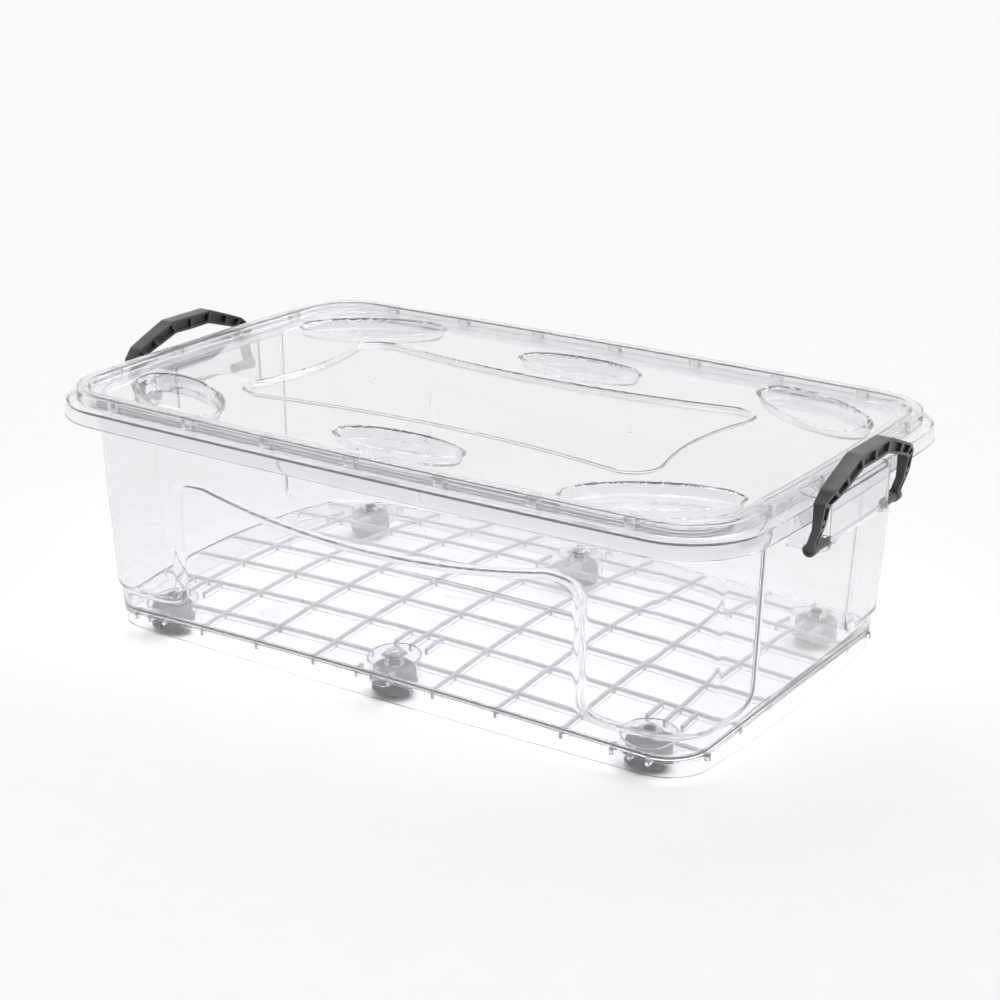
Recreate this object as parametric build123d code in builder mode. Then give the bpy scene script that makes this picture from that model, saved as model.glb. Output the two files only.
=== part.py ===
"""Under bed box: clear tub on six swivel casters, clear lid, two folding side handles."""

import os

from build123d import *

# ---------------------------------------------------------------- driving dimensions, mm
# Rim bead of the lid, seen from above; every rim outline is this one moved in or out
rim_length = 569.0
rim_width = 360.0
rim_radius = 46.0
rim_bow_end = 6.0  # how far the short sides bulge
rim_bow_side = 5.0  # how far the long sides bulge

# Foot of the tub, seen from above
foot_length = 514.0
foot_width = 313.0
foot_radius = 29.0
foot_bow_end = 7.5
foot_bow_side = 4.5

# Heights above the ground
foot_bottom = 7.0
step_height = 31.0
skirt_bottom = 177.0
shelf_top = 189.0
lid_top = 199.0

# Tub
wall = 2.2
band_draft = 1.9  # the foot band leans out by this up to the step
step_out = 1.6  # the wall stands out from the foot band at the step
wall_inset = 15.3  # wall under the rim, in from the bead outline
skirt_out = 8.5
skirt_flare = 1.0
shelf_thickness = 2.4

# Side panels pressed in between the corner pillars
panel_half_length = 176.0
panel_depth = 2.6
panel_dip_height = 121.0
panel_shoulder_height = 137.0
panel_shoulder_at = 146.0
panel_corner_height = 128.0

# Floor, crowned across its width, and the rib grid under it
crown_radius = 1250.0
floor_thickness = 2.0
rib_depth = 5.5
rib_thickness = 2.4
columns_to_caster = 4
rows_to_caster = 3
ring_rib_offset = 14.0

# Lid
lid_wall = 2.0
bead_width = 10.5
bead_height = 5.5
bead_edge = 1.4
bead_rib_width = 10.0
bead_rib_pitch = 74.5
bead_ribs_per_side = 7
bead_ribs_per_end = 4
seat_gap = 0.3
waist_length = 360.0
waist_width = 176.0
waist_pinch = 21.0
waist_end_pinch = 11.0
waist_depth = 3.2
waist_radius = 24.0
pocket_depth = 8.0
pocket_length = 104.0
pocket_width = 42.0
corner_pocket_length = 118.0
corner_pocket_width = 62.0
corner_pocket_lean = 22.0
corner_pocket_in_x = 14.0  # its centre, in from the caster that it takes
corner_pocket_in_y = 9.0
pocket_margin = 9.0  # between a pocket and the waist shape
pocket_rim_margin = 5.0  # between a pocket and the bead
locating_lip_depth = 5.0
lip_gap = 0.8

# Casters
caster_bore = 8.16
stem_clearance = 0.08
stem_length = 7.5
caster_end_inset = 41.8  # caster stem, in from the foot's end
caster_side_inset = 26.6
boss_diameter = 15.0
boss_gap = 0.5
ring_gap = 2.2
ring_wall = 1.8
ring_bottom = 13.5
ring_height = 12.0
stem_end_gap = 0.5
housing_margin = 2.5  # of the housing beyond the wheel's tread
housing_roof = 1.5
housing_skirt = 4.0  # the housing reaches this far below the axle
housing_edge = 4.0
caster_headroom = 2.65  # between a housing and the floor over its ring's edge
wheel_diameter = 19.0
wheel_width = 15.0
wheel_side_gap = 0.6
wheel_top_gap = 1.0
wheel_edge = 1.6
caster_trail = 4.5
axle_diameter = 4.0
axle_clearance = 0.06
axle_hold = 3.9  # how far each end of the axle sits in the housing
front_headings = (205.0, 268.0, 318.0)
back_headings = (232.0, 285.0, 248.0)

# Handles
pin_height = 157.5
pin_overhang = 8.0  # pin axis out from the rim bead's end
pin_diameter = 8.0
pin_clearance = 0.08
pin_end = 4.4  # how far a pin reaches past its bracket's side wall
handle_half_span = 73.0
handle_apex = 214.5
handle_gap = 0.6
arm_width = 9.0
arm_depth = 8.0
arm_drop = 2.0  # the straight arms end this far below the skirt
arm_rise = 3.0  # and start to lean in this far above the shelf
shoulder_in = 10.0  # outer corners of the arch, in from the arms and down from the top
shoulder_drop = 15.0
haunch_in = 27.0
haunch_drop = 8.5
grip_depth = 11.5
grip_height = 10.5
grip_half_flat = 24.0
tip_radius = 6.0
tip_side = 1.0  # the lean lower arm is thinner than the arm by this on each side
bracket_side_gap = 11.0  # between an arm and its bracket's side
bracket_out = 4.6  # bracket face out from the pin axis
bracket_nose = 2.0
bracket_drop = 8.0
bracket_heel = 14.0
bracket_wall = 2.6
bracket_lap = 4.0  # the bracket runs up inside the skirt by this

# ---------------------------------------------------------------- worked out from the above
caster_x = foot_length / 2 - caster_end_inset
caster_y = foot_width / 2 - caster_side_inset
column_pitch = caster_x / columns_to_caster
row_pitch = caster_y / rows_to_caster
axle_height = wheel_diameter / 2
wheel_room = wheel_width / 2 + wheel_side_gap
axle_length = 2 * (wheel_room + axle_hold)
housing_diameter = wheel_diameter + 2 * (caster_trail + housing_margin)
housing_top = wheel_diameter + wheel_top_gap + housing_roof
boss_bottom = housing_top + boss_gap
ring_diameter = housing_diameter + 2 * (ring_gap + ring_wall)
crown_drop = (caster_y + ring_diameter / 2) ** 2 / (2 * crown_radius)
crown_top = housing_top + caster_headroom + floor_thickness + crown_drop
panel_top = lid_top - bead_height
lip_bottom = panel_top - lid_wall - locating_lip_depth
end_lean = rim_length / 2 - wall_inset - foot_length / 2 - band_draft - step_out
side_lean = rim_width / 2 - wall_inset - foot_width / 2 - band_draft - step_out
lean_per_height = max(end_lean, side_lean, 0) / (shelf_top - step_height)
lip_inset = wall + lip_gap + lean_per_height * max(shelf_top - lip_bottom, 0)
rim_half = rim_length / 2 + rim_bow_end
pin_x = rim_half + pin_overhang
skirt_face = rim_half + skirt_out + skirt_flare
arm_inside = skirt_face + handle_gap
inner_half = handle_half_span - arm_width
bracket_half = inner_half - bracket_side_gap
pin_length = bracket_side_gap + bracket_wall + pin_end + tip_side

os.makedirs("parts", exist_ok=True)


class BowedRectangle(BaseSketchObject):
    """A rounded rectangle whose four sides bulge a little."""

    def __init__(self, length, width, bow_end, bow_side, radius, mode=Mode.ADD):
        x, y = length / 2, width / 2
        with BuildSketch(mode=Mode.PRIVATE) as plan:
            with BuildLine():
                ThreePointArc((-x, -y), (0, -y - bow_side), (x, -y))
                ThreePointArc((x, -y), (x + bow_end, 0), (x, y))
                ThreePointArc((x, y), (0, y + bow_side), (-x, y))
                ThreePointArc((-x, y), (-x - bow_end, 0), (-x, -y))
            make_face()
            fillet(plan.vertices(), radius)
        super().__init__(plan.sketch, mode=mode)


def rim_outline(out, mode=Mode.ADD):
    """The bead outline moved outwards by out."""
    return BowedRectangle(
        rim_length + 2 * out,
        rim_width + 2 * out,
        rim_bow_end,
        rim_bow_side,
        rim_radius + out,
        mode=mode,
    )


def foot_outline(out, narrower=0.0, mode=Mode.ADD):
    """The foot outline moved outwards by out, and its long sides in by narrower."""
    return BowedRectangle(
        foot_length + 2 * out,
        foot_width + 2 * (out - narrower),
        foot_bow_end,
        foot_bow_side,
        foot_radius + out,
        mode=mode,
    )


def wall_top_outline(out, narrower=0.0):
    """The wall's outline under the shelf, moved outwards by out."""
    inset = out - wall_inset
    return BowedRectangle(
        rim_length + 2 * inset,
        rim_width + 2 * (inset - narrower),
        rim_bow_end,
        rim_bow_side,
        rim_radius + inset,
    )


class PanelShape(BaseSketchObject):
    """Front view of a pressed-in side panel, its wavy top included."""

    def __init__(self, grow, mode=Mode.ADD):
        half = panel_half_length + grow
        with BuildSketch(mode=Mode.PRIVATE) as shape:
            with BuildLine():
                Polyline(
                    (-half, panel_corner_height + grow),
                    (-half, foot_bottom - 1),
                    (half, foot_bottom - 1),
                    (half, panel_corner_height + grow),
                )
                Spline(
                    (half, panel_corner_height + grow),
                    (panel_shoulder_at, panel_shoulder_height + grow),
                    (0, panel_dip_height + grow),
                    (-panel_shoulder_at, panel_shoulder_height + grow),
                    (-half, panel_corner_height + grow),
                )
            make_face()
        super().__init__(shape.sketch, mode=mode)


def panel_prism(grow):
    """A solid through both long walls, in the shape of their panels."""
    with BuildPart(mode=Mode.PRIVATE) as prism:
        with BuildSketch(Plane.XZ):
            PanelShape(grow)
        extrude(amount=rim_width, both=True)
    return prism.part


def tub_body(inside, narrower=0.0):
    """The tub's solid shape from the step up, shrunk inwards by inside."""
    lean = band_draft + step_out - inside
    with BuildPart(mode=Mode.PRIVATE) as body:
        with BuildSketch(Plane.XY.offset(step_height)):
            foot_outline(lean, narrower)
        with BuildSketch(Plane.XY.offset(shelf_top)):
            wall_top_outline(-inside, narrower)
        loft(ruled=True)
    return body.part


def foot_body(inside, top):
    """The foot band's solid shape up to a height, shrunk inwards by inside."""
    lean = band_draft * (top - foot_bottom) / (step_height - foot_bottom)
    with BuildPart(mode=Mode.PRIVATE) as body:
        with BuildSketch(Plane.XY.offset(foot_bottom)):
            foot_outline(-inside)
        with BuildSketch(Plane.XY.offset(top)):
            foot_outline(lean - inside)
        loft(ruled=True)
    return body.part


def crown_band(depth_from, depth_to):
    """A slab that follows the floor's crown, between two depths below its top."""
    with BuildPart(mode=Mode.PRIVATE) as band:
        with BuildSketch(Plane.YZ):
            with Locations((0, crown_top - crown_radius)):
                Circle(crown_radius - depth_from)
                Circle(crown_radius - depth_to, mode=Mode.SUBTRACT)
            with Locations((0, crown_top)):
                Rectangle(rim_width, 120, mode=Mode.INTERSECT)
        extrude(amount=rim_length / 2, both=True)
    return band.part


def caster_places():
    """Each caster's name, place on the floor and heading."""
    for row, side, headings in ((-1, "front", front_headings), (1, "back", back_headings)):
        for column, place, heading in zip((-1, 0, 1), ("left", "middle", "right"), headings):
            yield f"{side}_{place}", column * caster_x, row * caster_y, heading


caster_points = [(x, y) for _, x, y, _ in caster_places()]

# ---------------------------------------------------------------- tub
outer_pillars = tub_body(0)
outer_panels = tub_body(0, panel_depth)
inner_pillars = tub_body(wall)
inner_panels = tub_body(wall, panel_depth)

with BuildPart() as tub_outside:
    add(outer_pillars)
    add(panel_prism(0), mode=Mode.SUBTRACT)
with BuildPart() as tub_outside_panels:
    add(outer_panels)
    add(panel_prism(0), mode=Mode.INTERSECT)
with BuildPart() as tub_inside:
    add(inner_pillars)
    add(panel_prism(wall), mode=Mode.SUBTRACT)
with BuildPart() as tub_inside_panels:
    add(inner_panels)
    add(panel_prism(wall), mode=Mode.INTERSECT)

with BuildPart() as rib_grid:
    with BuildSketch(Plane.XY.offset(foot_bottom + 5)):
        with GridLocations(column_pitch, 0, 2 * columns_to_caster + 1, 1):
            Rectangle(rib_thickness, foot_width + 4 * wall)
        with GridLocations(0, row_pitch, 1, 2 * rows_to_caster + 1):
            Rectangle(foot_length + 4 * wall, rib_thickness)
        with Locations(*caster_points):
            with GridLocations(2 * ring_rib_offset, 0, 2, 1):
                Rectangle(rib_thickness, 2 * row_pitch)
        foot_outline(-wall / 2, mode=Mode.INTERSECT)
        with Locations(*caster_points):
            Circle(ring_diameter / 2 - ring_wall / 2, mode=Mode.SUBTRACT)
    extrude(amount=crown_top)
    add(crown_band(floor_thickness / 2, floor_thickness + rib_depth), mode=Mode.INTERSECT)

with BuildPart() as caster_sockets:
    with BuildSketch(Plane.XY.offset(ring_bottom)):
        with Locations(*caster_points):
            Circle(ring_diameter / 2)
            Circle(ring_diameter / 2 - ring_wall, mode=Mode.SUBTRACT)
    extrude(amount=ring_height)
    with BuildSketch(Plane.XY.offset(boss_bottom)):
        with Locations(*caster_points):
            Circle(boss_diameter / 2)
    extrude(amount=housing_top + stem_length + wall - boss_bottom)

with BuildPart() as upper_cavity:
    add(tub_inside.part)
    add(tub_inside_panels.part)
    add(foot_body(wall, step_height))
    add(crown_band(0, shelf_top), mode=Mode.SUBTRACT)
    add(caster_sockets.part, mode=Mode.SUBTRACT)

with BuildPart() as lower_cavity:
    add(foot_body(wall, crown_top + rib_depth))
    add(crown_band(-shelf_top, floor_thickness), mode=Mode.SUBTRACT)
    add(rib_grid.part, mode=Mode.SUBTRACT)
    add(caster_sockets.part, mode=Mode.SUBTRACT)

bracket_root = foot_length / 2
with BuildPart() as handle_bracket:
    with BuildSketch(Plane.XZ):
        with BuildLine():
            Polyline(
                (bracket_root, skirt_bottom + bracket_lap),
                (pin_x + bracket_out, skirt_bottom + bracket_lap),
                (pin_x + bracket_out, pin_height - bracket_nose),
                (pin_x, pin_height - bracket_drop),
                (bracket_root, pin_height - bracket_drop - bracket_heel),
                (bracket_root, skirt_bottom + bracket_lap),
            )
        make_face()
    extrude(amount=bracket_half, both=True)
    with BuildSketch(Plane.XZ.offset(-bracket_half + bracket_wall)):
        with Locations((pin_x + bracket_out - bracket_wall, skirt_bottom + bracket_lap - bracket_wall)):
            Rectangle(rim_half, pin_height, align=(Align.MAX, Align.MAX))
    extrude(amount=2 * (bracket_half - bracket_wall), mode=Mode.SUBTRACT)
    with Locations((pin_x, 0, pin_height)):
        Cylinder(
            pin_diameter / 2 + pin_clearance,
            2 * rim_width,
            rotation=(90, 0, 0),
            mode=Mode.SUBTRACT,
        )

with BuildPart() as skirt_ring:
    with BuildSketch(Plane.XY.offset(skirt_bottom)):
        rim_outline(skirt_out + skirt_flare)
    with BuildSketch(Plane.XY.offset(shelf_top)):
        rim_outline(skirt_out)
    loft(ruled=True)
    with BuildSketch(Plane.XY.offset(skirt_bottom - 1)):
        rim_outline(skirt_out + skirt_flare - wall)
    with BuildSketch(Plane.XY.offset(shelf_top - shelf_thickness)):
        rim_outline(skirt_out - wall)
    loft(ruled=True, mode=Mode.SUBTRACT)

with BuildPart() as tub:
    add(tub_outside.part)
    add(tub_outside_panels.part)
    add(foot_body(0, step_height))
    add(skirt_ring.part)
    add(handle_bracket.part)
    add(handle_bracket.part.mirror(Plane.YZ))
    add(upper_cavity.part, mode=Mode.SUBTRACT)
    add(lower_cavity.part, mode=Mode.SUBTRACT)
    with BuildSketch(Plane.XY.offset(boss_bottom)):
        with Locations(*caster_points):
            Circle(caster_bore / 2)
    extrude(amount=housing_top + stem_length + stem_end_gap - boss_bottom, mode=Mode.SUBTRACT)
tub.part.label = "tub"
export_step(tub.part, "parts/tub.step")

# ---------------------------------------------------------------- lid
class WaistShape(BaseSketchObject):
    """The raised outline in the lid's middle: wide at its four corners, narrow at its waist."""

    def __init__(self, grow, mode=Mode.ADD):
        x, y = waist_length / 2 + grow, waist_width / 2 + grow
        with BuildSketch(mode=Mode.PRIVATE) as shape:
            with BuildLine():
                Spline((-x, -y), (0, -y + waist_pinch), (x, -y))
                Spline((x, -y), (x - waist_end_pinch, 0), (x, y))
                Spline((x, y), (0, y - waist_pinch), (-x, y))
                Spline((-x, y), (-x + waist_end_pinch, 0), (-x, -y))
            make_face()
            fillet(shape.vertices(), waist_radius + grow)
        super().__init__(shape.sketch, mode=mode)


class StackPocket(BaseSketchObject):
    """One pocket that takes a caster of the box stacked above."""

    def __init__(self, column, row, grow, mode=Mode.ADD):
        with BuildSketch(mode=Mode.PRIVATE) as shape:
            if column == 0:
                with Locations((0, row * caster_y)):
                    Ellipse(pocket_length / 2 + grow, pocket_width / 2 + grow)
            else:
                lean = -row * column * corner_pocket_lean
                place_x = column * (caster_x - corner_pocket_in_x)
                with Locations((place_x, row * (caster_y - corner_pocket_in_y))):
                    Ellipse(
                        corner_pocket_length / 2 + grow,
                        corner_pocket_width / 2 + grow,
                        rotation=lean,
                    )
                rim_outline(grow - bead_width - pocket_rim_margin, mode=Mode.INTERSECT)
                WaistShape(pocket_margin - grow, mode=Mode.SUBTRACT)
        super().__init__(shape.sketch, mode=mode)


pockets = [(column, row) for row in (-1, 1) for column in (-1, 0, 1)]
lid_bottom = shelf_top + seat_gap

with BuildPart() as bead_ribs:
    with BuildSketch(Plane.XY.offset(lid_bottom)):
        with GridLocations(bead_rib_pitch, 0, bead_ribs_per_side, 1):
            Rectangle(bead_rib_width, rim_width + 4 * rim_bow_side)
        with GridLocations(0, bead_rib_pitch, 1, bead_ribs_per_end):
            Rectangle(rim_length + 4 * rim_bow_end, bead_rib_width)
        rim_outline(-lid_wall / 2, mode=Mode.INTERSECT)
        rim_outline(-bead_width + lid_wall / 2, mode=Mode.SUBTRACT)
    extrude(amount=lid_top - lid_bottom - lid_wall / 2)

with BuildPart() as lid:
    with BuildSketch(Plane.XY.offset(lid_bottom)):
        rim_outline(0)
    extrude(amount=lid_top - lid_bottom)
    fillet(lid.faces().sort_by(Axis.Z)[-1].edges(), bead_edge)
    with BuildSketch(Plane.XY.offset(panel_top)):
        rim_outline(-bead_width)
    extrude(amount=bead_height, mode=Mode.SUBTRACT)
    with BuildSketch(Plane.XY.offset(lid_bottom)):
        rim_outline(-lid_wall)
    extrude(amount=panel_top - lid_wall - lid_bottom, mode=Mode.SUBTRACT)
    with BuildSketch(Plane.XY.offset(panel_top - lid_wall)):
        rim_outline(-lid_wall)
        rim_outline(-bead_width + lid_wall, mode=Mode.SUBTRACT)
    extrude(amount=bead_height, mode=Mode.SUBTRACT)
    add(bead_ribs.part)
    with BuildSketch(Plane.XY.offset(lip_bottom)):
        wall_top_outline(-lip_inset)
    extrude(amount=locating_lip_depth + lid_wall)
    with BuildSketch(Plane.XY.offset(lip_bottom)):
        wall_top_outline(-lip_inset - lid_wall)
    extrude(amount=locating_lip_depth, mode=Mode.SUBTRACT)
    for drop, grow, mode in ((lid_wall, lid_wall, Mode.ADD), (0, 0, Mode.SUBTRACT)):
        with BuildSketch(Plane.XY.offset(panel_top - waist_depth - drop)):
            WaistShape(grow)
        extrude(amount=waist_depth + drop, mode=mode)
        with BuildSketch(Plane.XY.offset(panel_top - pocket_depth - drop)):
            for column, row in pockets:
                StackPocket(column, row, grow)
        extrude(amount=pocket_depth + drop, mode=mode)
lid.part.label = "lid"
export_step(lid.part, "parts/lid.step")

# ---------------------------------------------------------------- handles
def mirrored(points):
    """A run of points on the right of the middle line, closed on the left by its mirror image."""
    left = [(-y, z) for y, z in reversed(points)]
    return [*points, *left, points[0]]


arm_foot = skirt_bottom - arm_drop
outer_edge = mirrored(
    [
        (handle_half_span, arm_foot),
        (handle_half_span, shelf_top + arm_rise),
        (handle_half_span - shoulder_in, handle_apex - shoulder_drop),
        (handle_half_span - haunch_in, handle_apex - haunch_drop),
        (grip_half_flat, handle_apex),
    ]
)
inner_edge = mirrored(
    [
        (inner_half, arm_foot - arm_drop),
        (inner_half, shelf_top),
        (inner_half - shoulder_in + tip_side, handle_apex - shoulder_drop - grip_height + arm_rise),
        (inner_half - haunch_in + 5 * tip_side, handle_apex - haunch_drop - grip_height + tip_side),
        (grip_half_flat - 4 * tip_side, handle_apex - grip_height),
    ]
)

with BuildPart() as handle_right:
    # the arch and its straight arms, outside the skirt
    with BuildSketch(Plane.YZ.offset(arm_inside)):
        with BuildLine():
            Polyline(*outer_edge)
        make_face()
        with BuildLine():
            Polyline(*inner_edge)
        make_face(mode=Mode.SUBTRACT)
    extrude(amount=grip_depth)
    # the arms are thinner than the grip
    with BuildSketch(Plane.XZ.offset(-2 * handle_half_span)):
        with BuildLine():
            Polyline(
                (arm_inside + arm_depth, arm_foot - arm_drop),
                (arm_inside + arm_depth, shelf_top),
                (arm_inside + grip_depth + handle_gap, shelf_top + shoulder_in),
                (arm_inside + grip_depth + handle_gap, arm_foot - arm_drop),
                (arm_inside + arm_depth, arm_foot - arm_drop),
            )
        make_face()
    extrude(amount=4 * handle_half_span, mode=Mode.SUBTRACT)
    # lower arms lean in under the skirt and end in round tips on the pins
    with BuildSketch(Plane.XZ.offset(-inner_half - tip_side)):
        with BuildLine():
            Polyline(
                (arm_inside, arm_foot),
                (arm_inside + arm_depth, arm_foot),
                (pin_x + tip_radius, pin_height),
                (pin_x - tip_radius, pin_height),
                (arm_inside, arm_foot),
            )
        make_face()
        with Locations((pin_x, pin_height)):
            Circle(tip_radius)
    extrude(amount=-(arm_width - 2 * tip_side))
    mirror(about=Plane.XZ)
    for side in (-1, 1):
        with Locations((pin_x, side * (inner_half + 2 * tip_side - pin_length / 2), pin_height)):
            Cylinder(pin_diameter / 2, pin_length + 2 * tip_side, rotation=(90, 0, 0))
handle_right.part.label = "handle_right"
export_step(handle_right.part, "parts/handle_right.step")

handle_left = handle_right.part.mirror(Plane.YZ)
handle_left.label = "handle_left"
export_step(handle_left, "parts/handle_left.step")

# ---------------------------------------------------------------- casters
with BuildPart() as housing:
    with BuildSketch(Plane.XY.offset(axle_height - housing_skirt)):
        Circle(housing_diameter / 2)
    extrude(amount=housing_top - axle_height + housing_skirt)
    fillet(housing.faces().sort_by(Axis.Z)[-1].edges(), housing_edge)
    with BuildSketch(Plane.XZ):
        with Locations((caster_trail, axle_height)):
            Circle(wheel_diameter / 2 + wheel_top_gap)
        with Locations((caster_trail, 0)):
            Rectangle(wheel_diameter + 2 * wheel_top_gap, 2 * axle_height)
    extrude(amount=wheel_room, both=True, mode=Mode.SUBTRACT)
    with Locations((0, 0, housing_top + stem_length / 2)):
        Cylinder(caster_bore / 2 - stem_clearance, stem_length)
    with Locations((caster_trail, 0, axle_height)):
        Cylinder(
            axle_diameter / 2 + axle_clearance,
            2 * housing_diameter,
            rotation=(90, 0, 0),
            mode=Mode.SUBTRACT,
        )

with BuildPart() as wheel:
    with Locations((caster_trail, 0, axle_height)):
        Cylinder(wheel_diameter / 2, wheel_width, rotation=(90, 0, 0))
        fillet(wheel.edges().filter_by(GeomType.CIRCLE), wheel_edge)
        Cylinder(
            axle_diameter / 2 + axle_clearance,
            2 * wheel_width,
            rotation=(90, 0, 0),
            mode=Mode.SUBTRACT,
        )

with BuildPart() as axle:
    with Locations((caster_trail, 0, axle_height)):
        Cylinder(axle_diameter / 2, axle_length, rotation=(90, 0, 0))

for name, x, y, heading in caster_places():
    for piece, builder in (("housing", housing), ("wheel", wheel), ("axle", axle)):
        placed = Pos(x, y, 0) * Rot(0, 0, heading) * builder.part
        placed.label = f"caster_{piece}_{name}"
        export_step(placed, f"parts/{placed.label}.step")
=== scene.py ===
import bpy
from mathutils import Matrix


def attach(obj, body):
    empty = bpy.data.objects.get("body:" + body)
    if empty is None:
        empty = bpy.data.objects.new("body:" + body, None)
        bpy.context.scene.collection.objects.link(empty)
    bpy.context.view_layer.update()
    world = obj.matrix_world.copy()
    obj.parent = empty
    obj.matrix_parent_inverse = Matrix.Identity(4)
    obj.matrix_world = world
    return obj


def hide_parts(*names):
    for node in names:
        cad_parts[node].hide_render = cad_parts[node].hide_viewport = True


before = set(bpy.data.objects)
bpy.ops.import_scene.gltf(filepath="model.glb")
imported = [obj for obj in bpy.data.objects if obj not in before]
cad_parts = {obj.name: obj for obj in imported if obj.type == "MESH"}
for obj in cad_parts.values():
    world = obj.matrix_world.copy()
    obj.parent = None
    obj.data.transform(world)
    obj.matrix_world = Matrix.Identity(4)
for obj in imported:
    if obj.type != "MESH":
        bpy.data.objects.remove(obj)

"""Looks of a clear under bed box: tub, lid, two folding handles, six swivel casters.

Sizes in the classes are millimetres; meshes are made in metres by MeshMaker.
"""

import logging
import math
from dataclasses import dataclass, field
from enum import Enum
from typing import Callable, Iterator

import bmesh
import bpy
import numpy as np
from mathutils import Matrix, Vector

log = logging.getLogger("under_bed_box")
MM = 0.001
SHARP_ANGLE = 38.0  # degrees; edges sharper than this stay crisp
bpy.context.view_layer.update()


# ------------------------------------------------------------------ small helpers
def smooth(value: np.ndarray, width: float) -> np.ndarray:
    """A soft step from 0 to 1 as a distance goes from -width/2 to width/2.

    Args:
        value: signed distances, positive inside a feature.
        width: how wide the soft edge is.

    Returns:
        The step's height at each distance, 0 to 1.
    """
    t = np.clip(np.asarray(value) / width + 0.5, 0.0, 1.0)
    return t * t * (3.0 - 2.0 * t)


def soft_min(a: np.ndarray, b: np.ndarray, radius: float) -> np.ndarray:
    """The smaller of two distances, rounded where they meet.

    Args:
        a: first distances.
        b: second distances.
        radius: how large the rounding is.

    Returns:
        The rounded minimum.
    """
    h = np.clip(0.5 + 0.5 * (b - a) / radius, 0.0, 1.0)
    return b + (a - b) * h - radius * h * (1.0 - h)


def polygon_distance(points: np.ndarray, outline: np.ndarray) -> np.ndarray:
    """Signed distance from points to a closed outline, positive inside.

    Args:
        points: array of (n, 2) places.
        outline: array of (m, 2) corners in order.

    Returns:
        Array of n distances.
    """
    start, end = outline, np.roll(outline, -1, axis=0)
    best = np.full(len(points), 1e9)
    inside = np.zeros(len(points), dtype=bool)
    for a, b in zip(start, end):
        run = b - a
        rel = points - a
        t = np.clip(rel @ run / (run @ run), 0.0, 1.0)
        best = np.minimum(best, np.hypot(*(rel - t[:, None] * run).T))
        crosses = (a[1] > points[:, 1]) != (b[1] > points[:, 1])
        if a[1] != b[1]:
            at = a[0] + (points[:, 1] - a[1]) * run[0] / run[1]
            inside ^= crosses & (points[:, 0] < at)
    return np.where(inside, best, -best)


@dataclass
class MeshMaker:
    """Collects vertices and faces, in millimetres, and makes one Blender object of them."""

    name: str
    verts: list = field(default_factory=list)
    faces: list = field(default_factory=list)

    def add(self, verts: np.ndarray, faces: list) -> None:
        """Adds a set of vertices with faces that count from its own first vertex.

        Args:
            verts: (n, 3) array of places in millimetres.
            faces: tuples of vertex numbers, counted from 0 in this set.
        """
        base = sum(len(v) for v in self.verts)
        self.verts.append(np.asarray(verts, dtype=float))
        self.faces.extend([tuple(i + base for i in f) for f in faces])

    def rings(self, rings: list, close_ends: bool = False, loop: bool = False) -> None:
        """Adds a skin over closed rings that all have the same number of points.

        Args:
            rings: list of (n, 3) arrays.
            close_ends: whether the first and last rings are filled with one face.
            loop: whether the last ring joins the first.
        """
        count = len(rings[0])
        faces = []
        spans = len(rings) if loop else len(rings) - 1
        for r in range(spans):
            low, high = r * count, ((r + 1) % len(rings)) * count
            for i in range(count):
                j = (i + 1) % count
                faces.append((low + i, low + j, high + j, high + i))
        if close_ends:
            faces.append(tuple(range(count - 1, -1, -1)))
            last = (len(rings) - 1) * count
            faces.append(tuple(last + i for i in range(count)))
        self.add(np.concatenate(rings), faces)

    def loose(self) -> bpy.types.Object:
        """Makes the object as a plain tool shape that rides on nothing.

        Returns:
            The new object, in metres, with all its faces turned outwards.
        """
        mesh = bpy.data.meshes.new(self.name)
        verts = np.concatenate(self.verts) * MM
        mesh.from_pydata([tuple(v) for v in verts], [], self.faces)
        shaped = bmesh.new()
        shaped.from_mesh(mesh)
        bmesh.ops.recalc_face_normals(shaped, faces=shaped.faces)
        shaped.to_mesh(mesh)
        shaped.free()
        piece = bpy.data.objects.new(self.name, mesh)
        bpy.context.scene.collection.objects.link(piece)
        return piece

    def make(self, body: str, material: bpy.types.Material, flat: bool = False) -> bpy.types.Object:
        """Makes the object, gives it a material and rides it on a body.

        Args:
            body: the CAD body it moves with.
            material: its finish.
            flat: whether its faces are shaded flat.

        Returns:
            The new object.
        """
        piece = self.loose()
        mesh = piece.data
        mesh.validate()
        if not flat:
            mesh.shade_smooth()
            mesh.set_sharp_from_angle(angle=math.radians(SHARP_ANGLE))
        mesh.materials.append(material)
        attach(piece, body)
        log.info("%s: %d faces on %s", self.name, len(mesh.polygons), body)
        return piece


# ------------------------------------------------------------------ finishes
class Slot(Enum):
    """The record's material slots."""

    CLEAR = "clear_plastic"
    GREY = "grey_plastic"
    STEEL = "axle_steel"


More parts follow.
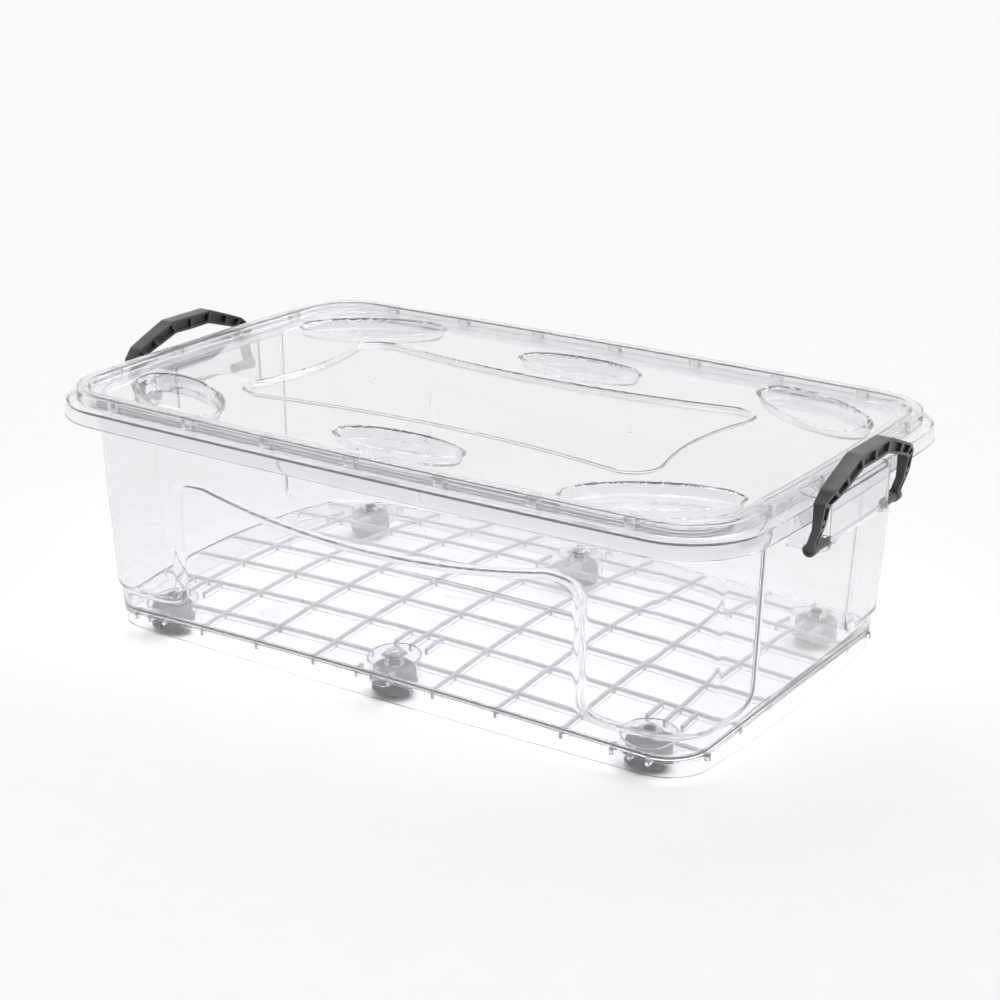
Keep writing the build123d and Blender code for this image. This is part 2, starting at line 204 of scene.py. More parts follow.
@dataclass
class NodeBoard:
    """A material's node tree with short ways to add to it."""

    material: bpy.types.Material

    @classmethod
    def new(cls, name: str) -> "NodeBoard":
        """Starts an empty node tree under a name.

        Args:
            name: the material's name.

        Returns:
            The board for it.
        """
        material = bpy.data.materials.new(name)
        material.use_nodes = True
        material.node_tree.nodes.clear()
        return cls(material)

    def node(self, kind: str) -> bpy.types.Node:
        """Adds a node of a kind and gives it back."""
        return self.material.node_tree.nodes.new(kind)

    def link(self, out: bpy.types.NodeSocket, into: bpy.types.NodeSocket) -> None:
        """Joins an output socket to an input socket."""
        self.material.node_tree.links.new(out, into)

    def finish(self, shader: bpy.types.NodeSocket) -> bpy.types.Material:
        """Ends the tree in its output.

        Args:
            shader: the surface's shader socket.

        Returns:
            The finished material.
        """
        output = self.node("ShaderNodeOutputMaterial")
        self.link(shader, output.inputs["Surface"])
        return self.material

    def noise(self, scale: float, detail: float = 2.0, rough: float = 0.5) -> bpy.types.NodeSocket:
        """Adds a noise over the object's own place.

        Args:
            scale: how fine it is, per metre.
            detail: how many finer layers it has.
            rough: how strong the finer layers are.

        Returns:
            Its value socket, about 0 to 1.
        """
        place = self.node("ShaderNodeTexCoord")
        noise = self.node("ShaderNodeTexNoise")
        noise.inputs["Scale"].default_value = scale
        noise.inputs["Detail"].default_value = detail
        noise.inputs["Roughness"].default_value = rough
        self.link(place.outputs["Object"], noise.inputs["Vector"])
        return noise.outputs["Fac"]

    def spread(self, value: bpy.types.NodeSocket, low: float, high: float) -> bpy.types.NodeSocket:
        """Maps a 0 to 1 value to a range.

        Args:
            value: the value's socket.
            low: what 0 becomes.
            high: what 1 becomes.

        Returns:
            The mapped value's socket.
        """
        ramp = self.node("ShaderNodeMapRange")
        ramp.inputs["To Min"].default_value = low
        ramp.inputs["To Max"].default_value = high
        self.link(value, ramp.inputs["Value"])
        return ramp.outputs["Result"]

    def shades(self, value: bpy.types.NodeSocket, dark: tuple, light: tuple) -> bpy.types.NodeSocket:
        """Maps a 0 to 1 value to the shades between two colours.

        Args:
            value: the value's socket.
            dark: the colour at 0.
            light: the colour at 1.

        Returns:
            The colour's socket.
        """
        ramp = self.node("ShaderNodeValToRGB")
        ramp.color_ramp.elements[0].color = dark
        ramp.color_ramp.elements[1].color = light
        self.link(value, ramp.inputs["Fac"])
        return ramp.outputs["Color"]

    def lamps_through(self, surface: bpy.types.NodeSocket, tint: tuple) -> bpy.types.NodeSocket:
        """Lets lamps shine through a surface, as they do through thin clear plastic.

        Args:
            surface: the surface's own shader socket.
            tint: the colour that the light keeps.

        Returns:
            The shader socket with both.
        """
        open_way = self.node("ShaderNodeBsdfTransparent")
        open_way.inputs["Color"].default_value = tint
        path = self.node("ShaderNodeLightPath")
        mix = self.node("ShaderNodeMixShader")
        self.link(path.outputs["Is Shadow Ray"], mix.inputs["Fac"])
        self.link(surface, mix.inputs[1])
        self.link(open_way.outputs["BSDF"], mix.inputs[2])
        return mix.outputs["Shader"]

    def bump(self, height: bpy.types.NodeSocket, strength: float, distance: float) -> bpy.types.NodeSocket:
        """Turns a height into a tilt of the surface.

        Args:
            height: the height's socket.
            strength: how strong the tilt is.
            distance: how high 1 stands, in metres.

        Returns:
            The normal's socket.
        """
        bump = self.node("ShaderNodeBump")
        bump.inputs["Strength"].default_value = strength
        bump.inputs["Distance"].default_value = distance
        self.link(height, bump.inputs["Height"])
        return bump.outputs["Normal"]


@dataclass(frozen=True)
class ClearPlastic:
    """Clear moulded plastic: bends light, with a faint flow ripple from moulding."""

    name: str = "clear_moulded_plastic"
    tint: tuple = (0.930, 0.931, 0.945, 1.0)
    ior: float = 1.46
    roughness: float = 0.0
    ripple: float = 0.05
    haze: float = 0.05
    haze_tint: tuple = (0.9, 0.9, 0.905, 1.0)
    lamp_tint: tuple = (0.985, 0.985, 0.987, 1.0)

    def material(self) -> bpy.types.Material:
        """Builds the node tree.

        Returns:
            The finished material.
        """
        board = NodeBoard.new(self.name)
        shader = board.node("ShaderNodeBsdfPrincipled")
        shader.inputs["Base Color"].default_value = self.tint
        shader.inputs["Transmission Weight"].default_value = 1.0
        shader.inputs["IOR"].default_value = self.ior
        shader.inputs["Roughness"].default_value = self.roughness
        ripple = board.noise(14.0, 1.0)
        board.link(board.bump(ripple, self.ripple, 0.002), shader.inputs["Normal"])
        # a little of the light is scattered in the plastic
        scatter = board.node("ShaderNodeBsdfTranslucent")
        scatter.inputs["Color"].default_value = self.haze_tint
        front = board.node("ShaderNodeBsdfDiffuse")
        front.inputs["Color"].default_value = self.haze_tint
        milk = board.node("ShaderNodeMixShader")
        milk.inputs["Fac"].default_value = 0.5
        board.link(scatter.outputs["BSDF"], milk.inputs[1])
        board.link(front.outputs["BSDF"], milk.inputs[2])
        hazy = board.node("ShaderNodeMixShader")
        hazy.inputs["Fac"].default_value = self.haze
        board.link(shader.outputs["BSDF"], hazy.inputs[1])
        board.link(milk.outputs["Shader"], hazy.inputs[2])
        return board.finish(board.lamps_through(hazy.outputs["Shader"], self.lamp_tint))


@dataclass(frozen=True)
class MilkyPlastic:
    """The same plastic where it is thick and ribbed: milkier, so that the ribs read as pale lines."""

    name: str = "milky_rib_plastic"
    colour: tuple = (0.46, 0.46, 0.47, 1.0)
    clearness: float = 0.2
    ior: float = 1.2
    roughness: float = 0.25
    roughness_spread: float = 0.06
    lamp_tint: tuple = (0.93, 0.93, 0.935, 1.0)

    def material(self) -> bpy.types.Material:
        """Builds the node tree.

        Returns:
            The finished material.
        """
        board = NodeBoard.new(self.name)
        shader = board.node("ShaderNodeBsdfPrincipled")
        shader.inputs["Base Color"].default_value = self.colour
        shader.inputs["Transmission Weight"].default_value = self.clearness
        shader.inputs["IOR"].default_value = self.ior
        low, high = self.roughness - self.roughness_spread, self.roughness + self.roughness_spread
        board.link(board.spread(board.noise(90.0, 2.0), low, high), shader.inputs["Roughness"])
        return board.finish(board.lamps_through(shader.outputs["BSDF"], self.lamp_tint))


@dataclass(frozen=True)
class GreyPlastic:
    """Dark grey moulded plastic with a fine satin grain and slightly worn gloss."""

    name: str = "dark_grey_moulded_plastic"
    dark: tuple = (0.055, 0.055, 0.057, 1.0)
    light: tuple = (0.095, 0.095, 0.098, 1.0)
    grain_scale: float = 900.0

    def material(self) -> bpy.types.Material:
        """Builds the node tree.

        Returns:
            The finished material.
        """
        board = NodeBoard.new(self.name)
        shader = board.node("ShaderNodeBsdfPrincipled")
        mottle = board.noise(60.0, 3.0)
        board.link(board.shades(mottle, self.dark, self.light), shader.inputs["Base Color"])
        grain = board.noise(self.grain_scale, 2.0, 0.6)
        board.link(board.spread(grain, 0.30, 0.48), shader.inputs["Roughness"])
        board.link(board.bump(grain, 0.10, 0.0002), shader.inputs["Normal"])
        return board.finish(shader.outputs["BSDF"])


@dataclass(frozen=True)
class DrawnSteel:
    """Drawn steel wire for the axle pins, with a fine noise in its tone and gloss."""

    name: str = "drawn_steel"
    dark: tuple = (0.42, 0.42, 0.43, 1.0)
    light: tuple = (0.62, 0.62, 0.63, 1.0)

    def material(self) -> bpy.types.Material:
        """Builds the node tree.

        Returns:
            The finished material.
        """
        board = NodeBoard.new(self.name)
        shader = board.node("ShaderNodeBsdfPrincipled")
        shader.inputs["Metallic"].default_value = 1.0
        lines = board.noise(700.0, 2.0)
        board.link(board.shades(lines, self.dark, self.light), shader.inputs["Base Color"])
        board.link(board.spread(lines, 0.25, 0.4), shader.inputs["Roughness"])
        return board.finish(shader.outputs["BSDF"])


@dataclass(frozen=True)
class PaleFloor:
    """The white paper floor that the box stands on."""

    name: str = "white_paper"
    dark: tuple = (0.90, 0.90, 0.90, 1.0)
    light: tuple = (0.92, 0.92, 0.92, 1.0)

    def material(self) -> bpy.types.Material:
        """Builds the node tree.

        Returns:
            The finished material.
        """
        board = NodeBoard.new(self.name)
        shader = board.node("ShaderNodeBsdfPrincipled")
        tooth = board.noise(40.0, 2.0)
        board.link(board.shades(tooth, self.dark, self.light), shader.inputs["Base Color"])
        shader.inputs["Roughness"].default_value = 0.9
        shader.inputs["Specular IOR Level"].default_value = 0.1
        return board.finish(shader.outputs["BSDF"])


# ------------------------------------------------------------------ outlines
@dataclass(frozen=True)
class Outline:
    """A rounded rectangle, seen from above, whose four sides bulge a little."""

    length: float
    width: float
    bow_end: float
    bow_side: float
    radius: float
    side_steps: int = 290
    end_steps: int = 130
    corner_steps: int = 20

    def loop(self, out: float = 0.0) -> np.ndarray:
        """Points round the outline, moved outwards by out, anticlockwise from the right side.

        Args:
            out: how far the outline is moved outwards.

        Returns:
            Array of (n, 2) points, always the same number in the same order.
        """
        a, b, r = self.length / 2, self.width / 2, self.radius
        core_x, core_y, reach = a - r, b - r, r + out
        points = []
        turns = ((1, 1, 0), (-1, 1, 90), (-1, -1, 180), (1, -1, 270))
        for n, (sx, sy, start) in enumerate(turns):
            for k in range(self.corner_steps + 1):
                t = math.radians(start + 90 * k / self.corner_steps)
                points.append((sx * core_x + reach * math.cos(t), sy * core_y + reach * math.sin(t)))
            steps = self.side_steps if n % 2 == 0 else self.end_steps
            nx, ny = turns[(n + 1) % 4][:2]
            t = math.radians(start + 90)
            first = points[-1]
            last = (nx * core_x + reach * math.cos(t), ny * core_y + reach * math.sin(t))
            for k in range(1, steps):
                f = k / steps
                points.append((first[0] + (last[0] - first[0]) * f, first[1] + (last[1] - first[1]) * f))
        p = np.array(points)
        x, y = p[:, 0].copy(), p[:, 1].copy()
        fade_y = np.clip(np.abs(y) / (b + out), 0, 1)
        fade_x = np.clip(np.abs(x) / (a + out), 0, 1)
        p[:, 1] += np.sign(y) * self.bow_side * (1 - (x / (a + out)) ** 2) * fade_y
        p[:, 0] += np.sign(x) * self.bow_end * (1 - (y / (b + out)) ** 2) * fade_x
        return p


RIM = Outline(569.0, 360.0, 6.0, 5.0, 46.0)
FOOT = Outline(514.0, 313.0, 7.5, 4.5, 29.0)


def ring(loop: np.ndarray, height: float | np.ndarray) -> np.ndarray:
    """A loop of (n, 2) points lifted to a height, or to a height for each point."""
    z = np.broadcast_to(np.asarray(height, dtype=float), (len(loop),))
    return np.column_stack([loop, z])


def inward(loop: np.ndarray, core: float, share: float) -> np.ndarray:
    """A loop drawn in towards the long middle line of the box.

    Args:
        loop: (n, 2) points.
        core: half the length of the middle line.
        share: 1 at the loop, 0 at the middle line.

    Returns:
        The drawn-in points.
    """
    spine = np.column_stack([np.clip(loop[:, 0], -core, core) * 0.999, np.zeros(len(loop))])
    return spine + (loop - spine) * share


# ------------------------------------------------------------------ the tub
@dataclass
class Tub:
    """The clear tub: walls, rim shelf and skirt, ribbed crowned floor, caster rings."""

    wall: float = 2.2
    foot_bottom: float = 7.0
    step_height: float = 31.0
    pillar_out: float = 2.5
    pillar_foot: float = 38.0
    end_panel_half: float = 76.0
    end_panel_lean: float = 0.03
    band_draft: float = 1.9
    skirt_bottom: float = 177.0
    shelf_top: float = 189.0
    shelf_thickness: float = 2.4
    skirt_out: float = 8.5
    skirt_flare: float = 1.0
    wall_inset: float = 15.3
    panel_half: float = 176.0
    panel_edge: float = 3.8
    panel_slope: float = 0.55
    corner_blend: float = 14.0
    side_from: float = 135.0  # beyond this half-width the wall counts as a long side
    wave_low: float = 121.0
    wave_rise: float = 16.0
    wave_reach: float = 150.0
    crown_top: float = 37.2
    crown_radius_across: float = 1250.0
    crown_radius_along: float = 4900.0
    floor_thickness: float = 2.0
    floor_round: float = 3.0
    floor_edge: float = 24.0  # height that the floor's outline is taken at
    floor_steps: int = 84
    wall_steps: int = 120
    rib_depth: float = 5.5
    rib_root: float = 2.2
    rib_thickness: float = 2.4
    column_pitch: float = 53.8
    row_pitch: float = 43.3
    ring_rib_offset: float = 14.0
    rib_reach_along: float = 262.0
    rib_reach_across: float = 158.5
    cell_size: float = 12.0
    ring_diameter: float = 41.0
    ring_wall: float = 1.8
    ring_bottom: float = 13.5
    boss_diameter: float = 15.0
    boss_bottom: float = 22.0
    boss_bore: float = 8.16
    dome_height: float = 3.6
    bracket_half: float = 53.0
    bracket_face: float = 303.1
    bracket_low: float = 150.0
    bracket_arch: float = 9.0
    bracket_wall: float = 2.6
    bracket_round: float = 7.0
    pin_x: float = 298.5
    pin_z: float = 157.5
    pin_bore: float = 8.16
    air: float = 0.05

    def crown(self, x: np.ndarray, y: np.ndarray) -> np.ndarray:
        """Height of the floor's top over the ground, with a low dome over each caster stem.

        Args:
            x: places along the box.
            y: places across the box.

        Returns:
            The heights.
        """
        height = (
            self.crown_top
            - x**2 / (2 * self.crown_radius_along)
            - y**2 / (2 * self.crown_radius_across)
        )
        for place_x, place_y in self.caster_places():
            apart = np.hypot(x - place_x, y - place_y)
            height = height + self.dome_height * smooth(self.boss_diameter / 2 - apart, 3.5)
        return height

    def wave(self, x: np.ndarray) -> np.ndarray:
        """Height of the pressed-in panel's wavy top edge."""
        return self.wave_low + self.wave_rise * np.clip(np.abs(x) / self.wave_reach, 0, 1) ** 2

    def recess(self, loop: np.ndarray, z: float, grow: float) -> np.ndarray:
        """How far in the wall stands at a height, where it isn't part of a corner pillar.

        Args:
            loop: the wall's outline at that height.
            z: the height.
            grow: how much larger the recess is on this face.

        Returns:
            The depth at each point.
        """
        x, y = loop[:, 0], np.abs(loop[:, 1])
        beside = self.panel_slope * (self.panel_half - np.abs(x))
        panel = soft_min(beside, self.wave(x) - z, self.corner_blend)
        end_edge = self.end_panel_half + self.end_panel_lean * (z - 60.0)
        end_panel = self.panel_slope * (end_edge - y)
        on_side = smooth(y - self.side_from, 6.0)
        outside = -panel * on_side - end_panel * (1 - on_side)
        pillar = soft_min(outside, np.full(len(x), z - self.pillar_foot), self.corner_blend) - grow
        return self.pillar_out * (1 - smooth(pillar, self.panel_edge))

    def wall_loop(self, z: float, inside: float) -> np.ndarray:
        """The wall's outline at a height, moved in by inside, recesses pressed in.

        Args:
            z: height above the ground.
            inside: 0 for the outer face, the wall's thickness for the inner one.

        Returns:
            (n, 2) points.
        """
        low = FOOT.loop(self.band_draft + self.pillar_out - inside)
        high = RIM.loop(-self.wall_inset - inside)
        share = (z - self.step_height) / (self.shelf_top - self.step_height)
        loop = low + (high - low) * share
        depth = self.recess(loop, z, 0.8 * inside)
        tangent = np.roll(loop, -1, axis=0) - np.roll(loop, 1, axis=0)
        tangent /= np.linalg.norm(tangent, axis=1)[:, None]
        outward = np.column_stack([tangent[:, 1], -tangent[:, 0]])
        return loop - outward * depth[:, None]

    def foot_loop(self, z: float, inside: float) -> np.ndarray:
        """The foot band's outline at a height, moved in by inside."""
        share = (z - self.foot_bottom) / (self.step_height - self.foot_bottom)
        return FOOT.loop(self.band_draft * share - inside)

    def shell_rings(self) -> list:
        """Rings of the whole closed shell, from the floor's top round to its underside.

        Returns:
            List of (n, 3) arrays.
        """
        rings = []
        core = FOOT.length / 2 - FOOT.width / 2
        edge = self.foot_loop(self.floor_edge, self.wall)
        shares = np.linspace(0.008, 0.972, self.floor_steps)
        for share in shares:
            loop = inward(edge, core, share)
            rings.append(ring(loop, self.crown(loop[:, 0], loop[:, 1])))
        # the floor turns up into the wall in a small round
        edge_height = self.crown(edge[:, 0], edge[:, 1])
        for turn in np.linspace(0.2, 1.0, 5) * math.pi / 2:
            loop = self.foot_loop(self.floor_edge, self.wall + self.floor_round * (1 - math.sin(turn)))
            rise = self.floor_round * (1 - math.cos(turn))
            rings.append(ring(loop, self.crown(loop[:, 0], loop[:, 1]) + rise))
        start = edge_height.max() + self.floor_round + 0.8
        for z in np.linspace(start, self.shelf_top - 1.6, self.wall_steps):
            rings.append(ring(self.wall_loop(z, self.wall), z))
        top = self.shelf_top
        for out, z in ((0.3, top - 0.8), (1.0, top - 0.2), (2.0, top)):
            rings.append(ring(RIM.loop(-self.wall_inset - self.wall + out), z))
        reach = self.skirt_out
        for out, z in (
            (reach - 1.6, top),
            (reach - 0.8, top - 0.12),
            (reach - 0.25, top - 0.6),
            (reach, top - 1.4),
        ):
            rings.append(ring(RIM.loop(out), z))
        for share in np.linspace(0.15, 0.96, 6):
            z = top - share * (top - self.skirt_bottom)
            rings.append(ring(RIM.loop(reach + self.skirt_flare * share), z))
        low = self.skirt_bottom
        flare = reach + self.skirt_flare
        for out, z in (
            (flare, low + 0.3),
            (flare - 0.5, low),
            (flare - self.wall + 0.5, low),
            (flare - self.wall, low + 0.4),
        ):
            rings.append(ring(RIM.loop(out), z))
        under = top - self.shelf_thickness
        for out, z in (
            (reach - self.wall, under - 1.2),
            (reach - self.wall - 0.4, under - 0.3),
            (reach - self.wall - 1.4, under),
            (-self.wall_inset + 1.6, under),
            (-self.wall_inset + 0.5, under - 0.5),
        ):
            rings.append(ring(RIM.loop(out), z))
        for z in np.linspace(under - 1.4, self.step_height + 0.8, self.wall_steps):
            rings.append(ring(self.wall_loop(z, 0.0), z))
        step = self.step_height
        for z in (step - 0.8, 25.0, 19.0, 13.0, self.foot_bottom + 0.9):
            rings.append(ring(self.foot_loop(z, 0.0), z))
        low = self.foot_bottom
        for inside, z in ((0.25, low + 0.2), (0.9, low), (self.wall - 0.5, low), (self.wall, low + 0.6)):
            rings.append(ring(FOOT.loop(-inside), z))
        under_edge = edge_height - self.floor_thickness - self.floor_round
        for share in np.linspace(0.2, 1.0, 4):
            rings.append(ring(self.foot_loop(15.0, self.wall), low + 0.6 + (under_edge - low - 0.6) * share))
        for turn in np.flip(np.linspace(0.0, 0.85, 5)) * math.pi / 2:
            loop = self.foot_loop(20.0, self.wall + self.floor_round * (1 - math.sin(turn)))
            drop = self.floor_round * (1 - math.cos(turn))
            rings.append(ring(loop, self.crown(loop[:, 0], loop[:, 1]) - self.floor_thickness - drop))
        for share in np.flip(shares):
            loop = inward(edge, core, share)
            rings.append(ring(loop, self.crown(loop[:, 0], loop[:, 1]) - self.floor_thickness))
        return rings

    def build_shell(self, finish: bpy.types.Material) -> None:
        """Makes the closed clear shell.

        Args:
            finish: its material.
        """
        maker = MeshMaker("tub_shell")
        maker.rings(self.shell_rings(), close_ends=True)
        piece = maker.make("tub", finish)
        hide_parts("tub")

    def caster_places(self) -> Iterator[tuple]:
        """Finds the centres of the six caster rings.

        Returns:
            Each centre as (x, y).
        """
        for row in (-1, 1):
            for column in (-1, 0, 1):
                yield column * 4 * self.column_pitch, row * 3 * self.row_pitch

    def build_rings(self, finish: bpy.types.Material) -> None:
        """Makes the round caster rings and stem bosses that hang under the floor.

        Args:
            finish: their material.
        """
        maker = MeshMaker("tub_caster_rings")
        turn = np.linspace(0, 2 * math.pi, 72, endpoint=False)
        circle = np.column_stack([np.cos(turn), np.sin(turn)])
        outer, inner = self.ring_diameter / 2, self.ring_diameter / 2 - self.ring_wall
        for x, y in self.caster_places():
            centre = np.array([x, y])
            top = {
                r: self.crown(*(centre + circle * r).T) - self.floor_thickness - self.air
                for r in (outer, inner)
            }
            rings = [
                ring(centre + circle * (outer - 0.4), self.ring_bottom),
                ring(centre + circle * outer, self.ring_bottom + 0.5),
                ring(centre + circle * outer, top[outer]),
                ring(centre + circle * inner, top[inner]),
                ring(centre + circle * inner, self.ring_bottom + 0.5),
                ring(centre + circle * (inner + 0.4), self.ring_bottom),
            ]
            maker.rings(rings, loop=True)
            boss, bore = self.boss_diameter / 2, self.boss_bore / 2
            high = {
                r: self.crown(*(centre + circle * r).T) - self.floor_thickness - 0.3
                for r in (boss, bore)
            }
            tube = [
                ring(centre + circle * (boss - 0.5), self.boss_bottom),
                ring(centre + circle * boss, self.boss_bottom + 0.5),
                ring(centre + circle * boss, high[boss]),
                ring(centre + circle * bore, high[bore]),
                ring(centre + circle * bore, self.boss_bottom + 0.4),
                ring(centre + circle * (bore + 0.4), self.boss_bottom),
            ]
            maker.rings(tube, loop=True)
        piece = maker.make("tub", finish)

    def build_brackets(self, finish: bpy.types.Material) -> None:
        """Makes the hollow brackets under the rim's ends that hold the handle pins.

        Args:
            finish: their material.
        """
        half, face, curl = self.bracket_half, self.bracket_face, self.bracket_round
        for side, name in ((1, "right"), (-1, "left")):
            rings = []
            for share in np.linspace(0.0, 1.0, 24):
                loop = []
                for inset in (0.0, self.bracket_wall):
                    reach, out, bend = half - inset, face - inset, max(curl - inset, 1.0)
                    path = [(None, -reach)]
                    path += [
                        (out - bend + bend * math.sin(t), -reach + bend - bend * math.cos(t))
                        for t in np.linspace(0, math.pi / 2, 8)
                    ]
                    path += [(out, y) for y in np.linspace(-reach + bend, reach - bend, 42)[1:-1]]
                    path += [(x, -y) for x, y in reversed(path[:9])]
                    loop.append(path)
                joined = loop[0] + loop[1][::-1]
                points = []
                for x, y in joined:
                    low = self.bracket_low + self.bracket_arch * (1 - (y / half) ** 2)
                    z = low + share * (self.shelf_top - self.shelf_thickness - 0.1 - low)
                    root = self.wall_end(z, y) + 0.1
                    points.append((side * (root if x is None else x), side * y, z))
                rings.append(np.array(points))
            maker = MeshMaker(f"tub_handle_bracket_{name}")
            maker.rings(rings, close_ends=True)
            piece = maker.make("tub", finish)
            self.bore(piece, side)

    def wall_end(self, z: float, y: float) -> float:
        """How far out the end wall's outer face stands.

        Args:
            z: height above the ground.
            y: place across the box.

        Returns:
            The distance from the box's middle.
        """
        share = (z - self.step_height) / (self.shelf_top - self.step_height)
        out = self.band_draft + self.pillar_out
        low = FOOT.length / 2 + out + FOOT.bow_end * (1 - (y / (FOOT.width / 2 + out)) ** 2)
        out = -self.wall_inset
        high = RIM.length / 2 + out + RIM.bow_end * (1 - (y / (RIM.width / 2 + out)) ** 2)
        return low + (high - low) * share

    def bore(self, piece: bpy.types.Object, side: int) -> None:
        """Bores a bracket's two side walls for the handle pins.

        Args:
            piece: the bracket.
            side: 1 at the right end, -1 at the left.
        """
        turn = np.linspace(0, 2 * math.pi, 40, endpoint=False)
        ends = []
        for y in (-2 * self.bracket_half, 2 * self.bracket_half):
            x = side * self.pin_x + self.pin_bore / 2 * np.cos(turn)
            z = self.pin_z + self.pin_bore / 2 * np.sin(turn)
            ends.append(np.column_stack([x, np.full(len(turn), y), z]))
        drill_maker = MeshMaker("drill")
        drill_maker.rings(ends, close_ends=True)
        drill = drill_maker.loose()
        cut = piece.modifiers.new("bore", "BOOLEAN")
        cut.operation, cut.object, cut.solver = "DIFFERENCE", drill, "EXACT"
        seen = piece.evaluated_get(bpy.context.evaluated_depsgraph_get())
        bored = bpy.data.meshes.new_from_object(seen)
        piece.modifiers.clear()
        piece.data = bored
        bpy.data.objects.remove(drill)

    def rib_lines(self) -> tuple:
        """Finds the middle lines of the ribs along each axis.

        Returns:
            The columns' x values and the rows' y values.
        """
        columns = [c * self.column_pitch for c in range(-4, 5)]
        rows = [r * self.row_pitch for r in range(-3, 4)]
        return columns, rows

    def build_ribs(self, edge_finish: bpy.types.Material, side_finish: bpy.types.Material) -> None:
        """Makes the rib grid as one lattice of bars under the floor.

        Args:
            edge_finish: finish of the ribs' thick roots, next to the floor.
            side_finish: finish of their thin lower parts.
        """
        columns, rows = self.rib_lines()
        half = self.rib_thickness / 2
        hole = self.ring_diameter / 2 + 0.1
        places = list(self.caster_places())

        def cuts(lines: list, reach: float, centres: list) -> np.ndarray:
            """Finds the grid's cut lines: bar edges, ring edges, ends and even steps between.

            Args:
                lines: middle lines of the bars.
                reach: where the grid ends, on both sides.
                centres: centres of the caster rings.

            Returns:
                The cut lines in order.
            """
            marks = {-reach, reach}
            for line in lines:
                marks |= {line - half, line + half}
            for centre in centres:
                marks |= {centre - hole, centre + hole}
            marks = sorted(m for m in marks if abs(m) <= reach)
            fine = []
            for a, b in zip(marks, marks[1:]):
                steps = max(1, round((b - a) / self.cell_size))
                fine += [a + (b - a) * k / steps for k in range(steps)]
            return np.array(fine + [marks[-1]])

        side_ribs = sorted({x + s * self.ring_rib_offset for x, _ in places for s in (-1, 1)})
        xs = cuts(columns + side_ribs, self.rib_reach_along, sorted({x for x, _ in places}))
        ys = cuts(rows, self.rib_reach_across, sorted({y for _, y in places}))
        mid_x, mid_y = (xs[:-1] + xs[1:]) / 2, (ys[:-1] + ys[1:]) / 2
        on_column = np.array([any(abs(x - c) < half for c in columns) for x in mid_x])
        on_side_rib = np.array([any(abs(x - c) < half for c in side_ribs) for x in mid_x])
        on_row = np.array([any(abs(y - r) < half for r in rows) for y in mid_y])
        caster_band = np.abs(mid_y) > rows[-2]
        filled = on_column[:, None] | on_row[None, :] | (on_side_rib[:, None] & caster_band[None, :])
        for x, y in places:
            near_x, near_y = np.abs(mid_x - x) < hole, np.abs(mid_y - y) < hole
            filled &= ~(near_x[:, None] & near_y[None, :])
        edge = FOOT.loop(-self.wall - 0.2)
        inside = polygon_distance(np.array([(x, y) for x in mid_x for y in mid_y]), edge) > 0
        filled &= inside.reshape(filled.shape)
        piece = self.lattice("tub_floor_ribs", xs, ys, filled, edge_finish)
        piece.data.materials.append(side_finish)
        for face in piece.data.polygons:
            x, y, z = (1000 * v for v in face.center)
            depth = self.crown(x, y) - self.floor_thickness - z
            face.material_index = int(depth > self.rib_root)

    def lattice(
        self, name: str, xs: np.ndarray, ys: np.ndarray, filled: np.ndarray, finish: bpy.types.Material
    ) -> bpy.types.Object:
        """Makes a closed lattice from filled cells of a grid, following the crown.

        Args:
            name: the piece's name.
            xs: cut lines along X.
            ys: cut lines along Y.
            filled: which cells are solid.
            finish: its material.

        Returns:
            The lattice.
        """
        nx, ny = len(xs), len(ys)
        verts, faces = [], []
        for depth in (0.0, self.rib_root, self.rib_depth):
            for x in xs:
                for y in ys:
                    z = self.crown(x, y) - self.floor_thickness - self.air - depth
                    verts.append((x, y, z))

        def at(i: int, j: int, level: int) -> int:
            """Index of a grid corner on a level."""
            return level * nx * ny + i * ny + j

        for i in range(nx - 1):
            for j in range(ny - 1):
                if not filled[i, j]:
                    continue
                corners = [(i, j), (i + 1, j), (i + 1, j + 1), (i, j + 1)]
                faces.append(tuple(at(a, b, 0) for a, b in corners))
                faces.append(tuple(at(a, b, 2) for a, b in reversed(corners)))
                neighbours = ((i, j - 1), (i + 1, j), (i, j + 1), (i - 1, j))
                for k, (a, b) in enumerate(neighbours):
                    within = 0 <= a < nx - 1 and 0 <= b < ny - 1
                    if within and filled[a, b]:
                        continue
                    p, q = corners[k], corners[(k + 1) % 4]
                    faces.append((at(*p, 1), at(*q, 1), at(*q, 0), at(*p, 0)))
                    faces.append((at(*p, 2), at(*q, 2), at(*q, 1), at(*p, 1)))
        used = sorted({i for f in faces for i in f})
        renumber = {old: new for new, old in enumerate(used)}
        maker = MeshMaker(name)
        maker.add(np.array([verts[i] for i in used]), [tuple(renumber[i] for i in f) for f in faces])
        piece = maker.make("tub", finish, flat=True)
        return piece


